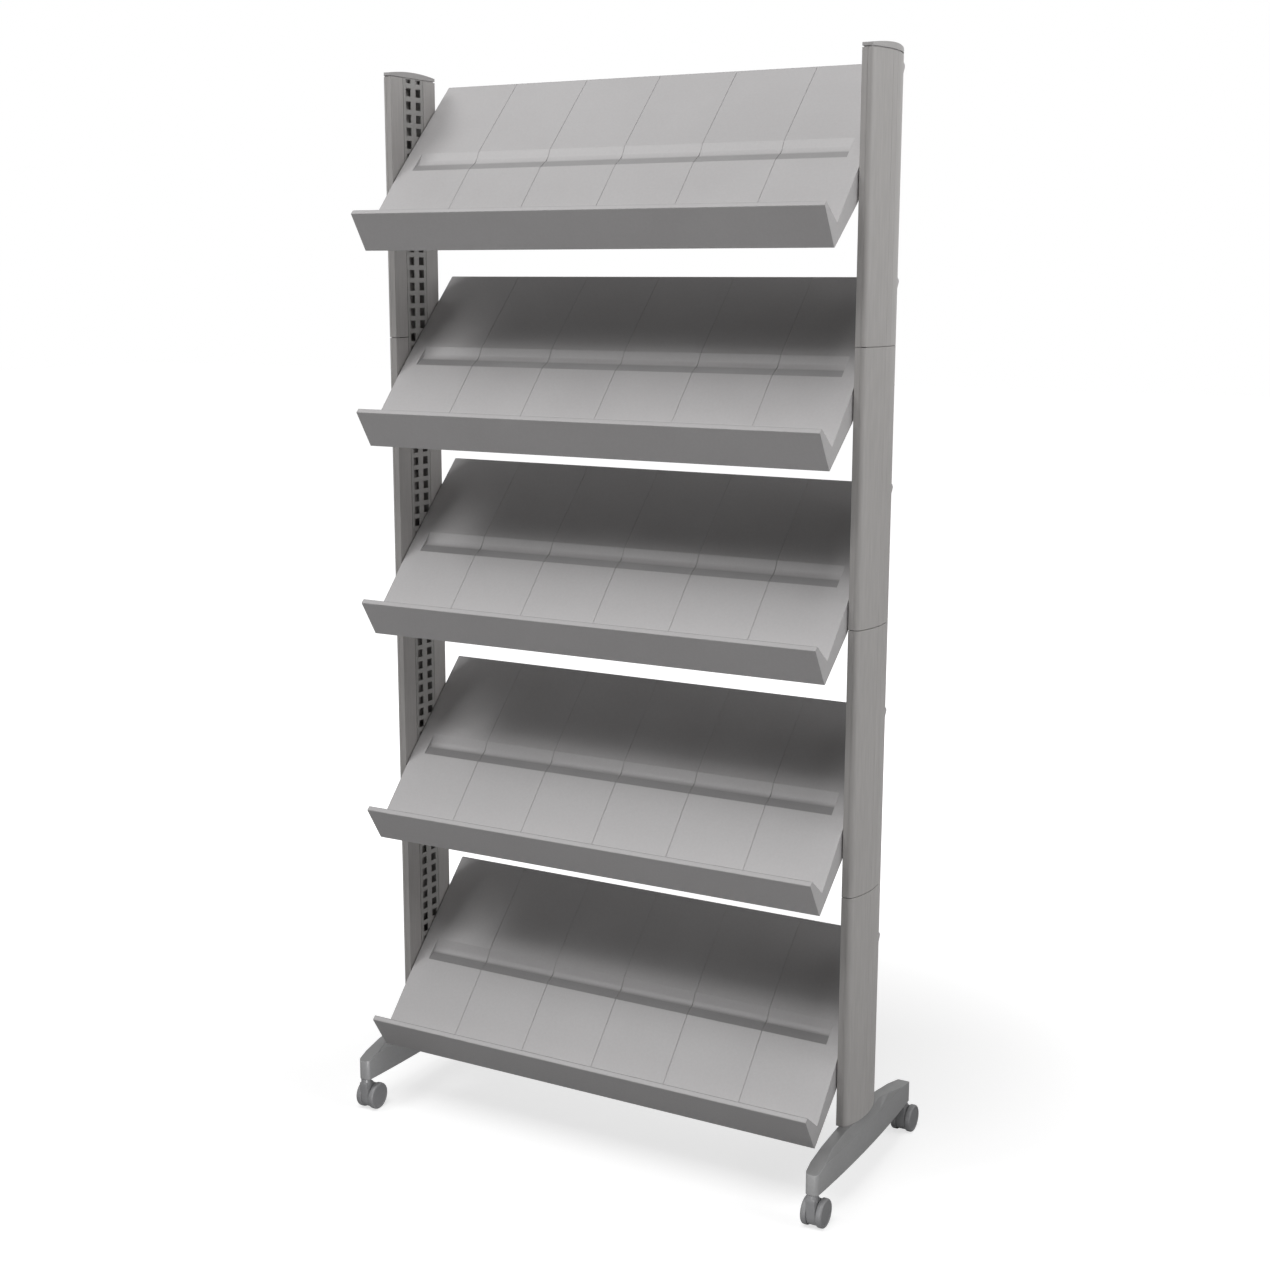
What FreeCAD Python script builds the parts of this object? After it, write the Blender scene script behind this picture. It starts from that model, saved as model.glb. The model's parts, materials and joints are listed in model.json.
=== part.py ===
import FreeCAD, Part
import os
import re
import Sketcher

# A single-sided mobile display rack for magazines: two perforated steel posts in clip-on D-shaped
# covers, five moulded sloping shelves hooked between them, and two feet on twin-wheel casters.
# +X is the rack's right, the shelves face -Y, +Z is up, and the rack stands on Z = 0.

sizes = {
    # posts
    "bay_width": 784,           # between the posts' inner faces
    "top_height": 1672,         # top of the posts and covers
    "base_height": 112,         # top of the feet, where the covers start
    "post_width": 52,
    "post_depth": 18,
    "post_wall": 1.5,
    "post_lip": 8,
    "post_socket": 36,          # how far a post reaches into its foot
    "post_floor": 4,            # welded plate that the foot's bolts screw into
    "hole_pitch": 20,
    "hole_rows": 78,
    "hole_width": 13,
    "hole_height": 12.5,
    "hole_spread": 26,          # between the two columns
    # covers
    "upright_depth": 118,       # front to back
    "upright_bulge": 26,        # from the posts' inner face to the crown
    "crown_radius": 151,
    "corner_radius": 8,
    "cover_wall": 2.5,
    "module_length": 400,
    "seam_gap": 1,
    "post_gap": 1,              # shadow line between post and cover
    "clip_setback": 1.2,
    "clip_depth": 2.8,
    "clip_width": 3,
    "trim_depth": 0.6,
    "trim_spread": 17,          # between the two lines on the crown
    "trim_inset": 8.5,          # the line beside the flat front strip
    # caps
    "cap_edge": 4.5,
    "cap_dome": 4.2,
    "cap_neck": 1.8,
    "cap_inset": 2,
    "plug_length": 14,
    "plug_setback": 6,
    "plug_clearance": 0.3,
    "plug_wall": 2,
    # shelves: reaches are from the posts' centre line, heights from the back edge of the lip's top
    "shelf_gap": 1.75,
    "lip_reach": 164,
    "lip_top_run": 6,
    "lip_top_drop": 5.5,
    "lip_foot_reach": 135,
    "lip_foot_drop": 61,
    "valley_reach": 127,
    "valley_drop": 28,
    "step_reach": 42.5,
    "step_rise": 63,
    "cove_reach": 24,
    "cove_rise": 73.7,
    "ledge_reach": 14.5,
    "ledge_rise": 90.7,
    "back_reach": 98,
    "back_rise": 202.4,
    "nose_reach": 106.5,
    "nose_rise": 196,
    "rear_reach": 92.5,
    "rear_rise": 173.8,
    "belly_reach": 59,
    "belly_drop": 0.7,
    "shelf_wall": 3,
    "shelf_bays": 6,
    "rib_width": 2.4,
    "rear_flange": 13,
    "flank_width": 24,          # plain cheek beside the stepped stretch
    "cove_round": 20,
    "line_width": 1.2,
    "line_depth": 0.5,
    "lip_round": 1.5,
    "nose_round": 4,
    # hook brackets
    "bracket_plate": 1.5,
    "bracket_reach": 22,
    "bracket_foot": 43,
    "bracket_rise": 50.5,
    "bracket_height": 32,
    "hook_row_rise": 65,        # from the lip's top to the lower hooks' row
    "hook_width": 9,
    "hook_neck": 5,
    "hook_drop": 5,
    "hook_tongue": 2,
    "hook_clearance": 0.1,
    "tab_width": 8,             # the brackets' tabs that hold a shelf's ends
    "tab_height": 3,
    "tab_length": 6,
    "tab_clearance": 0.05,
    # feet
    "foot_front": 180,
    "foot_back": 192,
    "foot_underside": 56,
    "foot_end_half": 10,
    "foot_mid_half": 16,
    "foot_crown_half": 9,
    "foot_shoulder": 96,
    "nose_top": 88,
    "break_reach": 124,
    "break_top": 107,
    "plateau_half": 70,
    "tail_top": 88,
    "nose_corner": 7,
    "tail_corner": 3,
    "socket_clearance": 0.3,
    "core_half": 5.5,
    "core_depth": 24,
    "core_setback": 12,
    # bolts from below, two in each foot
    "bolt_spread": 26,
    "bolt_radius": 3,
    "bolt_head_radius": 5,
    "bolt_head": 5,
    "bolt_seat": 12,
    "bolt_length": 14,
    "bolt_clearance": 0.3,
    "tap_clearance": 0.05,
    # casters
    "caster_front": 173,
    "caster_back": 186,
    "caster_trail": 14,
    "wheel_radius": 22,
    "wheel_width": 9.5,
    "wheel_chamfer": 2.5,
    "wheel_skin": 2.5,          # of the closed outer face
    "wheel_gap": 0.5,
    "wheel_play": 0.2,
    "bore_clearance": 0.05,
    "axle_radius": 3,
    "axle_fit": 0.02,
    "web_width": 14,
    "web_radius": 20,
    "boss_radius": 8.5,
    "boss_height": 11.3,
    "boss_gap": 0.4,
    "stem_radius": 4,
    "stem_length": 28,
    "stem_clearance": 0.05,
}

# Each shelf's lower hooks, in rows counted down from the half hole at the top of the posts.
shelf_rows = (7, 22, 37, 54, 72)
foot_rows = 6                   # clear rows between the lowest shelf's lower hooks and the feet
lowest_row = f"(floor((top_height - base_height) / hole_pitch) - {foot_rows})"
cover_count = 4

# The posts' centre line, which leaves the rack's box centred on the origin.
post_y = "(foot_front - caster_back - caster_trail - wheel_radius) / 2"
foot_x = "bay_width / 2 + upright_bulge / 2"
signs = {"left": "-", "right": ""}

doc = FreeCAD.newDocument("display_rack")
sheet = doc.addObject("Spreadsheet::Sheet", "Sizes")
for line, (alias, number) in enumerate(sizes.items(), 1):
    sheet.set(f"A{line}", alias)
    sheet.set(f"B{line}", str(number))
    sheet.setAlias(f"B{line}", alias)
doc.recompute()
bodies = []


def bound(text):
    """The expression with each size's name pointing at its cell."""
    return re.sub(r"[a-z_]+", lambda m: f"Sizes.{m[0]}" if m[0] in sizes else m[0], text)


def amount(text):
    return float(sheet.evalExpression(bound(text)))


def set_size(thing, name, text):
    setattr(thing, name, amount(text))
    thing.setExpression(name, bound(text))


def origin_part(body, role):
    return next(item for item in body.Origin.OriginFeatures if item.Role == role)


def new_body(label):
    body = doc.addObject("PartDesign::Body", label)
    body.Label = label
    bodies.append(body)
    return body


def place(body, x, y, z, turned=False):
    """Places a body by three expressions, turned half round about +Z where asked."""
    turn = FreeCAD.Rotation(FreeCAD.Vector(0, 0, 1), 180 if turned else 0)
    body.Placement = FreeCAD.Placement(FreeCAD.Vector(amount(x), amount(y), amount(z)), turn)
    for axis, text in (("x", x), ("y", y), ("z", z)):
        body.setExpression(f"Placement.Base.{axis}", bound(text))


def new_sketch(body, name, plane, offset="0"):
    """A sketch on one of the body's origin planes, moved along its normal by offset."""
    sketch = body.newObject("Sketcher::SketchObject", f"{body.Label}_{name}")
    sketch.AttachmentSupport = [(origin_part(body, plane), "")]
    sketch.MapMode = "FlatFace"
    sketch.AttachmentOffset = FreeCAD.Placement(
        FreeCAD.Vector(0, 0, amount(offset)), FreeCAD.Rotation())
    sketch.setExpression("AttachmentOffset.Base.z", bound(offset))
    return sketch


def hold(sketch, edge, end, x, y):
    """Ties one end of an edge to a point given by two expressions."""
    for kind, text in (("DistanceX", x), ("DistanceY", y)):
        index = sketch.addConstraint(Sketcher.Constraint(kind, -1, 1, edge, end, amount(text)))
        sketch.setExpression(f"Constraints[{index}]", bound(text))


def draw(sketch, corners, middles=None):
    """Draws a closed outline. middles holds a point on each side that is an arc, by side number."""
    middles = middles or {}
    points = [FreeCAD.Vector(amount(x), amount(y), 0) for x, y in corners]
    sides = []
    for i, start in enumerate(points):
        end = points[(i + 1) % len(points)]
        if i not in middles:
            sides.append((sketch.addGeometry(Part.LineSegment(start, end)), 1, 2))
            continue
        middle = FreeCAD.Vector(*[amount(text) for text in middles[i]], 0)
        arc = sketch.addGeometry(Part.Arc(start, middle, end))
        forward = sketch.getPoint(arc, 1).distanceToPoint(start) < 1e-6
        sides.append((arc, 1, 2) if forward else (arc, 2, 1))
        guide = sketch.addGeometry(Part.Point(middle), True)
        hold(sketch, guide, 1, *middles[i])
        sketch.addConstraint(Sketcher.Constraint("PointOnObject", guide, 1, arc))
    for i, (edge, first, last) in enumerate(sides):
        following, following_first, _ = sides[(i + 1) % len(sides)]
        sketch.addConstraint(Sketcher.Constraint("Coincident", edge, last, following, following_first))
        hold(sketch, edge, first, *corners[i])


def draw_box(sketch, left, right, low, high):
    draw(sketch, [(left, low), (right, low), (right, high), (left, high)])


def draw_circle(sketch, x, y, radius):
    centre = FreeCAD.Vector(amount(x), amount(y), 0)
    circle = sketch.addGeometry(Part.Circle(centre, FreeCAD.Vector(0, 0, 1), amount(radius)))
    hold(sketch, circle, 3, x, y)
    index = sketch.addConstraint(Sketcher.Constraint("Radius", circle, amount(radius)))
    sketch.setExpression(f"Constraints[{index}]", bound(radius))


def pad(sketch, length, centred=False, backwards=False):
    feature = sketch.getParentGeoFeatureGroup().newObject("PartDesign::Pad", f"{sketch.Name}_pad")
    feature.Profile = sketch
    set_size(feature, "Length", length)
    feature.SideType = "Symmetric" if centred else "One side"
    feature.Reversed = backwards
    return feature


def pocket(sketch, length=None, centred=False, backwards=False):
    """Cuts against the sketch's normal, or along it if backwards, and right through with no length."""
    body = sketch.getParentGeoFeatureGroup()
    doc.recompute()
    before = body.Shape.Volume
    feature = body.newObject("PartDesign::Pocket", f"{sketch.Name}_pocket")
    feature.Profile = sketch
    feature.SideType = "Symmetric" if centred else "One side"
    feature.Reversed = backwards
    if length:
        set_size(feature, "Length", length)
    else:
        feature.Type = "ThroughAll"
    doc.recompute()
    if body.Shape.Volume > before - 1e-3:
        raise RuntimeError(f"{feature.Name} cuts nothing")
    return feature


def repeat(feature, axis, count, spacing, backwards=False):
    body = feature.getParentGeoFeatureGroup()
    pattern = body.newObject("PartDesign::LinearPattern", f"{feature.Name}_row")
    pattern.Originals = [feature]
    pattern.Direction = (origin_part(body, axis), [""])
    pattern.Reversed = backwards
    pattern.Mode = "Spacing"
    set_size(pattern, "Offset", spacing)
    pattern.Occurrences = round(amount(count))
    pattern.setExpression("Occurrences", bound(count))
    body.Tip = pattern


def fillet(body, radius, direction, points):
    """Rounds the straight edges along direction that pass over the given points of its cross plane."""
    doc.recompute()
    keep = [i for i in range(3) if abs(direction[i]) < 0.5]
    targets = [[amount(text) for text in point] for point in points]
    names = []
    for number, edge in enumerate(body.Shape.Edges, 1):
        if not isinstance(edge.Curve, (Part.Line, Part.LineSegment)):
            continue
        ends = [vertex.Point for vertex in edge.Vertexes]
        if abs(abs((ends[1] - ends[0]).normalize().dot(FreeCAD.Vector(*direction))) - 1) > 1e-6:
            continue
        if any(all(abs(ends[0][axis] - value) < 1e-3 for axis, value in zip(keep, target))
               for target in targets):
            names.append(f"Edge{number}")
    if not names:
        raise RuntimeError(f"{body.Label}: no edge to round")
    base = body.Tip
    feature = body.newObject("PartDesign::Fillet", f"{body.Label}_{radius}")
    feature.Base = (base, names)
    set_size(feature, "Radius", radius)


# An upright's pieces share one frame: x runs outwards from the post's inner face, y to the back.

def crown_x(y, inset="0"):
    """Where the crown's curve lies at y, on the outside or inset from it."""
    return f"upright_bulge - crown_radius + sqrt((crown_radius - {inset}) ^ 2 - ({y}) ^ 2)"


def draw_crown(sketch, inset="0"):
    """The D of an upright's plan, all round its outside or inset from it."""
    edge = f"(upright_depth / 2 - {inset})"
    corners = [(inset, f"-{edge}"), (crown_x(edge, inset), f"-{edge}"),
               (crown_x(edge, inset), edge), (inset, edge)]
    draw(sketch, corners, {1: (f"upright_bulge - {inset}", "0")})


def round_crown(body):
    half = "upright_depth / 2"
    fillet(body, "corner_radius", (0, 0, 1), [(crown_x(half), f"-{half}"), (crown_x(half), half)])


def post(label):
    """A lipped steel channel with two columns of hook holes and a welded floor."""
    body = new_body(label)
    bottom = "base_height - post_socket"
    half = "post_width / 2"
    inner = f"({half} - post_wall)"
    lip = f"({half} - post_lip)"
    back = "post_depth - post_wall"
    front_half = [("0", f"-{half}"), ("post_depth", f"-{half}"), ("post_depth", f"-{lip}"),
                  (back, f"-{lip}"), (back, f"-{inner}"), ("post_wall", f"-{inner}")]
    section = front_half + [(x, y[1:]) for x, y in reversed(front_half)]
    sketch = new_sketch(body, "section", "XY_Plane", bottom)
    draw(sketch, section)
    pad(sketch, f"top_height - ({bottom})")
    floor = new_sketch(body, "floor", "XY_Plane", bottom)
    draw_box(floor, "post_wall / 2", "post_depth", f"-{inner} - post_wall / 2", f"{inner} + post_wall / 2")
    pad(floor, "post_floor")
    taps = new_sketch(body, "taps", "XY_Plane", bottom)
    for side in signs.values():
        draw_circle(taps, "post_depth / 2", f"{side}bolt_spread / 2", "bolt_radius + tap_clearance")
    pocket(taps, "2 * post_floor", backwards=True)
    holes = new_sketch(body, "holes", "YZ_Plane")
    for side in signs.values():
        draw_box(holes, f"{side}hole_spread / 2 - hole_width / 2", f"{side}hole_spread / 2 + hole_width / 2",
                 "top_height - hole_height / 2", "top_height + hole_height / 2")
    cut = pocket(holes, "2 * post_wall", backwards=True)
    repeat(cut, "Z_Axis", f"hole_rows + {lowest_row} - {shelf_rows[-1]}", "hole_pitch", backwards=True)
    return body


def cover(label, length):
    """One clip-on shell of an upright, with its clip ribs on the post's sides and its fine lines."""
    body = new_body(label)
    outline = new_sketch(body, "outline", "XY_Plane")
    draw_crown(outline)
    pad(outline, length)
    round_crown(body)
    half = "upright_depth / 2"
    window = "(post_width / 2 + post_gap)"
    clip = "(post_width / 2 + clip_width)"
    clip_end = "clip_setback + clip_depth"
    corner = f"({half} - 2 * cover_wall)"
    front_half = [("-cover_wall", f"-{window}"), ("clip_setback", f"-{window}"),
                  ("clip_setback", "-(post_width / 2)"), (clip_end, "-(post_width / 2)"),
                  (clip_end, f"-{clip}"), ("cover_wall", f"-{clip}"),
                  ("cover_wall", f"-({half} - cover_wall)"),
                  (f"{crown_x(half)} - corner_radius / 2", f"-({half} - cover_wall)"),
                  (crown_x(corner, "cover_wall"), f"-{corner}")]
    hollow = new_sketch(body, "hollow", "XY_Plane")
    draw(hollow, front_half + [(x, y[1:]) for x, y in reversed(front_half)],
         {len(front_half) - 1: ("upright_bulge - cover_wall", "0")})
    pocket(hollow, backwards=True)
    lines = new_sketch(body, "lines", "XY_Plane")
    for side in signs.values():
        y = f"{side}trim_spread / 2"
        x = crown_x("trim_spread / 2")
        draw(lines, [(f"{x} - trim_depth", y), (f"{x} + trim_depth", f"{y} - 2 * trim_depth"),
                     (f"{x} + trim_depth", f"{y} + 2 * trim_depth")])
        draw(lines, [("trim_inset", f"{side}({half} - trim_depth)"),
                     ("trim_inset - 2 * trim_depth", f"{side}({half} + trim_depth)"),
                     ("trim_inset + 2 * trim_depth", f"{side}({half} + trim_depth)")])
    pocket(lines, backwards=True)
    return body


def cap(label):
    """A domed end cap on a set-back neck, with a hollow plug that drops into the post."""
    body = new_body(label)
    outline = new_sketch(body, "outline", "XY_Plane", "cap_neck")
    draw_crown(outline)
    pad(outline, "cap_edge + 2 * cap_dome")
    round_crown(body)
    half = "upright_depth / 2"
    edge = "cap_neck + cap_edge"
    above = f"{edge} + 3 * cap_dome"
    dome = new_sketch(body, "dome", "YZ_Plane")
    draw(dome, [(f"-{half}", edge), (half, edge), (half, above), (f"-{half}", above)],
         {0: ("0", f"{edge} + cap_dome")})
    pocket(dome, backwards=True)
    neck = new_sketch(body, "neck", "XY_Plane")
    draw_crown(neck, "cap_inset")
    pad(neck, "cap_neck")
    plug_half = "(post_width / 2 - post_wall - plug_clearance)"
    plug_end = "post_depth - post_wall - plug_clearance"
    plug = new_sketch(body, "plug", "XY_Plane")
    draw_box(plug, "plug_setback", plug_end, f"-{plug_half}", plug_half)
    pad(plug, "plug_length", backwards=True)
    core = new_sketch(body, "core", "XY_Plane", "-plug_length")
    draw_box(core, "plug_setback + plug_wall", f"{plug_end} - plug_wall",
             f"-{plug_half} + plug_wall", f"{plug_half} - plug_wall")
    pocket(core, "plug_length", backwards=True)
    return body


# A shelf's cross-section, as (y, z) from the posts' centre line and the back edge of the lip's top.

lip_foot = ("-lip_foot_reach", "-lip_foot_drop")
lip_front = ("-lip_reach - lip_top_run", "-lip_top_drop")
lip_back = ("-lip_reach", "0")
valley = ("-valley_reach", "-valley_drop")
step = ("-step_reach", "step_rise")
cove = ("-cove_reach", "cove_rise")
ledge = ("-ledge_reach", "ledge_rise")
back_edge = ("back_reach", "back_rise")
nose = ("nose_reach", "nose_rise")
rear = ("rear_reach", "rear_rise")
belly = ("-belly_reach", "-belly_drop")
shelf_length = "(bay_width - 2 * shelf_gap)"
bay_pitch = f"(({shelf_length} - 2 * shelf_wall + rib_width) / shelf_bays)"


def shifted(point, right, up):
    return (f"{point[0]} + {right}", f"{point[1]} + {up}")


def sunk(point, depth):
    """The point moved square into the shelf's 45-degree slope."""
    return shifted(point, f"{depth} / sqrt(2)", f"-{depth} / sqrt(2)")


def hook_places():
    """Each hook as its column's y and its row's z: the lower one in front, the upper one behind."""
    return [("-hole_spread / 2", "hook_row_rise"), ("hole_spread / 2", "hook_row_rise + 2 * hole_pitch")]


def tab_boxes(clearance="0"):
    """The two tabs, in the hooks' columns, halfway up the bracket's plate, as left, right, low, high."""
    climb = "bracket_rise / bracket_reach / 2"
    middle = "bracket_foot + bracket_height / 2"
    half_width = f"(tab_width / 2 + {clearance})"
    half_height = f"(tab_height / 2 + {clearance})"
    places = [(y, f"{middle} + ({y} + bracket_reach) * {climb}") for y, _ in hook_places()]
    return [(f"{y} - {half_width}", f"{y} + {half_width}", f"{z} - {half_height}", f"{z} + {half_height}")
            for y, z in places]


def shelf(label):
    """A moulded shell, open underneath: double-walled lip, stepped bed, back and ribs under its lines."""
    body = new_body(label)
    profile = new_sketch(body, "profile", "YZ_Plane")
    draw(profile, [lip_foot, lip_front, lip_back, valley, step, ledge, back_edge, nose, rear, belly])
    pad(profile, shelf_length, centred=True)
    fillet(body, "lip_round", (1, 0, 0), [lip_front, lip_back, lip_foot])
    fillet(body, "nose_round", (1, 0, 0), [back_edge, nose])
    recess = new_sketch(body, "recess", "YZ_Plane")
    draw(recess, [step, cove, ledge, (step[0], ledge[1])])
    pocket(recess, f"{shelf_length} - 2 * flank_width", centred=True)
    fillet(body, "cove_round", (1, 0, 0), [cove])
    cavity = new_sketch(body, "cavity", "YZ_Plane", f"-{shelf_length} / 2 + shelf_wall")
    flange_in = "(rear_flange + shelf_wall) / sqrt(2)"
    flange_out = "(rear_flange - shelf_wall) / sqrt(2)"
    draw(cavity, [shifted(lip_foot, "2 * shelf_wall", "-shelf_wall"),
                  shifted(lip_foot, "0.85 * shelf_wall", "0.53 * shelf_wall"),
                  shifted(lip_back, "0", "-lip_top_drop - shelf_wall"),
                  shifted(valley, "0", "-sqrt(2) * shelf_wall"),
                  sunk(step, "shelf_wall"), sunk(cove, "shelf_wall"), sunk(ledge, "shelf_wall"),
                  shifted(back_edge, "0", "-sqrt(2) * shelf_wall"),
                  shifted(nose, "-sqrt(2) * shelf_wall", "0"),
                  sunk(rear, "-shelf_wall"),
                  shifted(rear, f"-{flange_in}", f"-{flange_out}"),
                  shifted(rear, f"-{flange_out}", f"-{flange_in}"),
                  shifted(belly, "shelf_wall", "-shelf_wall")])
    bay = pocket(cavity, f"{bay_pitch} - rib_width", backwards=True)
    repeat(bay, "X_Axis", "shelf_bays", bay_pitch)
    line = new_sketch(body, "line", "YZ_Plane", f"-(shelf_bays / 2 - 1) * {bay_pitch} - line_width / 2")
    surface = [valley, step, cove, ledge, back_edge]
    draw(line, [sunk(point, "line_depth") for point in surface]
         + [sunk(point, "-nose_round") for point in reversed(surface)])
    groove = pocket(line, "line_width", backwards=True)
    repeat(groove, "X_Axis", "shelf_bays - 1", bay_pitch)
    for side, sign in signs.items():
        slots = new_sketch(body, f"slots_{side}", "YZ_Plane", f"{sign}{shelf_length} / 2")
        for box in tab_boxes("tab_clearance"):
            draw_box(slots, *box)
        pocket(slots, "2 * shelf_wall", backwards=sign == "-")
    return body


def bracket(label, sign):
    """A steel plate between a shelf's end and the post: two hooks outwards, two tabs inwards."""
    body = new_body(label)
    inwards = sign == "-"
    face = f"{sign}(-shelf_gap)"
    top = "bracket_foot + bracket_height"
    plate = new_sketch(body, "plate", "YZ_Plane", face)
    draw(plate, [("-bracket_reach", "bracket_foot"), ("bracket_reach", "bracket_foot + bracket_rise"),
                 ("bracket_reach", f"{top} + bracket_rise"), ("-bracket_reach", top)])
    pad(plate, "bracket_plate", backwards=inwards)
    necks = new_sketch(body, "necks", "YZ_Plane", face)
    tongues = new_sketch(body, "tongues", "YZ_Plane", f"{sign}(post_wall + hook_clearance)")
    for y, z in hook_places():
        left, right = f"{y} - hook_width / 2", f"{y} + hook_width / 2"
        seat = f"{z} - hole_height / 2"
        draw_box(necks, left, right, seat, f"{seat} + hook_neck")
        draw_box(tongues, left, right, f"{seat} - hook_drop", f"{seat} + hook_neck")
    pad(necks, "shelf_gap + post_wall + hook_clearance + hook_tongue", backwards=inwards)
    pad(tongues, "hook_tongue", backwards=inwards)
    tabs = new_sketch(body, "tabs", "YZ_Plane", face)
    for box in tab_boxes():
        draw_box(tabs, *box)
    pad(tabs, "tab_length", backwards=not inwards)
    return body


def draw_foot_plan(sketch):
    middle = "(foot_back - foot_front) / 2"
    draw(sketch, [("-foot_end_half", "-foot_front"), ("foot_end_half", "-foot_front"),
                  ("foot_end_half", "foot_back"), ("-foot_end_half", "foot_back")],
         {1: ("foot_mid_half", middle), 3: ("-foot_mid_half", middle)})


def foot(label, sign):
    """A boat-shaped foot with a crowned top, a socket for the post and bores for its casters."""
    body = new_body(label)
    plan = new_sketch(body, "plan", "XY_Plane", "foot_underside")
    draw_foot_plan(plan)
    pad(plan, "foot_shoulder - foot_underside")
    crown = new_sketch(body, "crown", "XY_Plane", "foot_shoulder")
    draw_foot_plan(crown)
    slopes = pad(crown, "base_height - foot_shoulder")
    slopes.setExpression("TaperAngle", bound(
        "-atan((foot_mid_half - foot_crown_half) / (base_height - foot_shoulder))"))
    side = new_sketch(body, "side", "YZ_Plane")
    draw(side, [("-foot_front - nose_corner", "nose_top"), ("-foot_front", "nose_top"),
                ("-break_reach", "break_top"), ("-plateau_half", "base_height"),
                ("-plateau_half", "2 * base_height"), ("-foot_front - nose_corner", "2 * base_height")])
    draw(side, [("foot_back + tail_corner", "tail_top"), ("foot_back", "tail_top"),
                ("plateau_half", "base_height"), ("plateau_half", "2 * base_height"),
                ("foot_back + tail_corner", "2 * base_height")])
    pocket(side, "4 * foot_mid_half", centred=True)
    ends = ["-foot_end_half", "foot_end_half"]
    fillet(body, "nose_corner", (0, 0, 1), [(x, "-foot_front") for x in ends])
    fillet(body, "tail_corner", (0, 0, 1), [(x, "foot_back") for x in ends])
    inner_face = f"{sign}(-upright_bulge / 2 - socket_clearance)"
    channel_back = f"{sign}(-upright_bulge / 2 + post_depth + socket_clearance)"
    socket_half = "(post_width / 2 + socket_clearance)"
    socket = new_sketch(body, "socket", "XY_Plane", "base_height")
    draw_box(socket, inner_face, channel_back, f"-{socket_half}", socket_half)
    pocket(socket, "post_socket")
    seats = new_sketch(body, "seats", "XY_Plane", "foot_underside")
    shafts = new_sketch(body, "shafts", "XY_Plane", "foot_underside")
    for y in ("-bolt_spread / 2", "bolt_spread / 2"):
        x = f"{sign}(post_depth / 2 - upright_bulge / 2)"
        draw_circle(seats, x, y, "bolt_head_radius + bolt_clearance")
        draw_circle(shafts, x, y, "bolt_radius + bolt_clearance")
    pocket(seats, "bolt_seat", backwards=True)
    pocket(shafts, "base_height - foot_underside", backwards=True)
    bores = new_sketch(body, "bores", "XY_Plane", "foot_underside")
    for y in ("-caster_front", "caster_back"):
        draw_circle(bores, "0", y, "stem_radius + stem_clearance")
    pocket(bores, "stem_length + stem_clearance", backwards=True)
    cores = new_sketch(body, "cores", "XY_Plane", "foot_underside")
    inner_end = f"{socket_half} + core_setback"
    draw_box(cores, "-core_half", "core_half", "-caster_front + core_setback", f"-({inner_end})")
    draw_box(cores, "-core_half", "core_half", inner_end, "caster_back - core_setback")
    pocket(cores, "core_depth", backwards=True)
    return body


def foot_bolt(label):
    """A hexagon bolt from below: its head in the foot's counterbore, its shank in the post's floor."""
    body = new_body(label)
    head = new_sketch(body, "head", "XY_Plane", "-bolt_head")
    flat = "bolt_head_radius * sqrt(3) / 2"
    draw(head, [("bolt_head_radius", "0"), ("bolt_head_radius / 2", flat), ("-bolt_head_radius / 2", flat),
                ("-bolt_head_radius", "0"), ("-bolt_head_radius / 2", f"-{flat}"),
                ("bolt_head_radius / 2", f"-{flat}")])
    pad(head, "bolt_head")
    shank = new_sketch(body, "shank", "XY_Plane")
    draw_circle(shank, "0", "0", "bolt_radius")
    pad(shank, "bolt_length")
    return body


# A caster's own frame has the swivel axis at x = y = 0 and the floor at z = 0.

def caster_fork(label):
    """A caster's web between its wheels, with the swivel boss and the stem above."""
    body = new_body(label)
    boss_top = "(foot_underside - boss_gap)"
    boss_bottom = f"({boss_top} - boss_height)"
    web = new_sketch(body, "web", "YZ_Plane")
    draw(web, [("-boss_radius", boss_bottom), ("caster_trail - web_radius", "wheel_radius"),
               ("caster_trail", "wheel_radius - web_radius"), ("caster_trail", "wheel_radius + web_radius"),
               ("boss_radius", f"{boss_bottom} + boss_height / 2"),
               ("-boss_radius", f"{boss_bottom} + boss_height / 2")],
         {1: ("caster_trail - web_radius / sqrt(2)", "wheel_radius - web_radius / sqrt(2)"),
          2: ("caster_trail + web_radius", "wheel_radius")})
    pad(web, "web_width", centred=True)
    boss = new_sketch(body, "boss", "XY_Plane", boss_bottom)
    draw_circle(boss, "0", "0", "boss_radius")
    pad(boss, "boss_height")
    stem = new_sketch(body, "stem", "XY_Plane", boss_bottom)
    draw_circle(stem, "0", "0", "stem_radius")
    pad(stem, f"foot_underside + stem_length - {boss_bottom}")
    bore = new_sketch(body, "bore", "YZ_Plane")
    draw_circle(bore, "caster_trail", "wheel_radius", "axle_radius + axle_fit")
    pocket(bore, "2 * web_width", centred=True)
    return body


def caster_axle(label):
    """A plain pin through the fork, on which both wheels turn."""
    body = new_body(label)
    pin = new_sketch(body, "pin", "YZ_Plane")
    draw_circle(pin, "0", "0", "axle_radius")
    pad(pin, "web_width + 2 * (wheel_gap + wheel_width - wheel_skin - wheel_play)", centred=True)
    return body


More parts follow.
